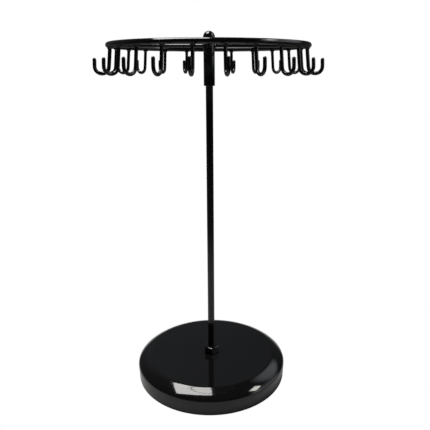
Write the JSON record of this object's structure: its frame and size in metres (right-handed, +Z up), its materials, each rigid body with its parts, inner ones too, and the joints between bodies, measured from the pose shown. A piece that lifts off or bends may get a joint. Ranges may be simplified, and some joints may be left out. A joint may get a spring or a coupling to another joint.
{
  "type": "rotating display rack",
  "caption": "Countertop rack for necklaces: a wire ring with outward hooks turns on a thin pole over a heavy round base.",
  "frame": {"origin": "centre of the pad's underside, on the pole's axis, where the rack stands on the table", "axes": "+Z up along the pole; -Y towards the viewer; the first hook points to +Y"},
  "size_m": [0.2084, 0.2078, 0.3458],
  "materials": {
    "base_paint": "high-gloss black baked enamel on pressed steel",
    "black_paint": "gloss black paint on steel rod, wire and tube",
    "cast_iron": "rough raw casting",
    "plated_steel": "bright zinc plate",
    "pad": "matt closed-cell foam rubber"
  },
  "bodies": {
    "stand": {"base_pad": "pad", "base_cover": "base_paint", "base_weight": "cast_iron", "collar_nut": "black_paint", "flat_washer": "plated_steel", "lock_washer": "plated_steel", "base_nut": "plated_steel", "pole": "black_paint", "thrust_ball": "plated_steel"},
    "carousel": {"hub_sleeve": "black_paint", "hub_plug": "plated_steel", "finial": "black_paint", "ring": "black_paint", "spoke_01": "black_paint", "spoke_02": "black_paint", "spoke_03": "black_paint", "spoke_04": "black_paint", "hook_01": "black_paint", "hook_02": "black_paint", "hook_03": "black_paint", "hook_04": "black_paint", "hook_05": "black_paint", "hook_06": "black_paint", "hook_07": "black_paint", "hook_08": "black_paint", "hook_09": "black_paint", "hook_10": "black_paint", "hook_11": "black_paint", "hook_12": "black_paint", "hook_13": "black_paint", "hook_14": "black_paint", "hook_15": "black_paint", "hook_16": "black_paint", "hook_17": "black_paint", "hook_18": "black_paint", "hook_19": "black_paint", "hook_20": "black_paint", "hook_21": "black_paint", "hook_22": "black_paint", "hook_23": "black_paint"}
  },
  "joints": [
    {"name": "carousel_spin", "type": "hinge", "parent": "stand", "child": "carousel", "pos_m": [0, 0, 0.3328], "axis": [0, 0, 1], "continuous": true}
  ]
}
